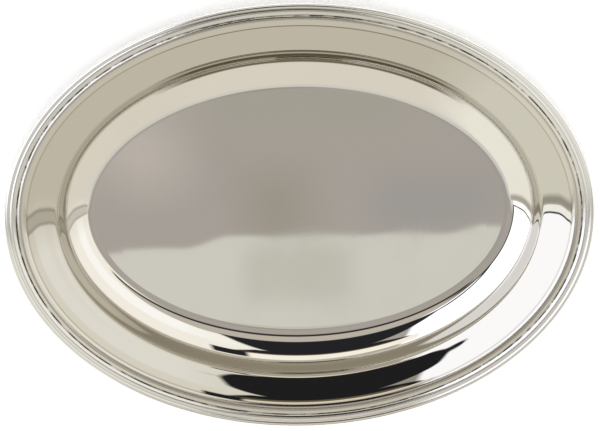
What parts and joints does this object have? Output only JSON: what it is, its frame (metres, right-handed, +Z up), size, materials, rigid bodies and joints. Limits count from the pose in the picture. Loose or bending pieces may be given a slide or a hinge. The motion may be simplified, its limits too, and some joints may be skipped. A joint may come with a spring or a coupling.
{
  "type": "oval serving tray",
  "caption": "Oval mirror-polished steel serving tray: flat floor, soft cove, steep stepped wall, sloping rim, moulded border and rolled edge over a wire.",
  "frame": {"origin": "centre of the underside of the flat floor, on the surface that the tray stands on", "axes": "+Z up out of the well, +X along the length, +Y across the width"},
  "size_m": [0.406, 0.298, 0.0251],
  "materials": {
    "polished_steel": "mirror-polished stainless steel with a faint satin bloom on the floor",
    "border_steel": "polished stainless steel, slightly duller in the groove and at the seam",
    "wire_steel": "plain drawn steel wire, hidden inside the roll"
  },
  "bodies": {
    "root": {"tray_pan": "polished_steel", "edge_border": "border_steel", "edge_wire": "wire_steel"}
  },
  "joints": []
}
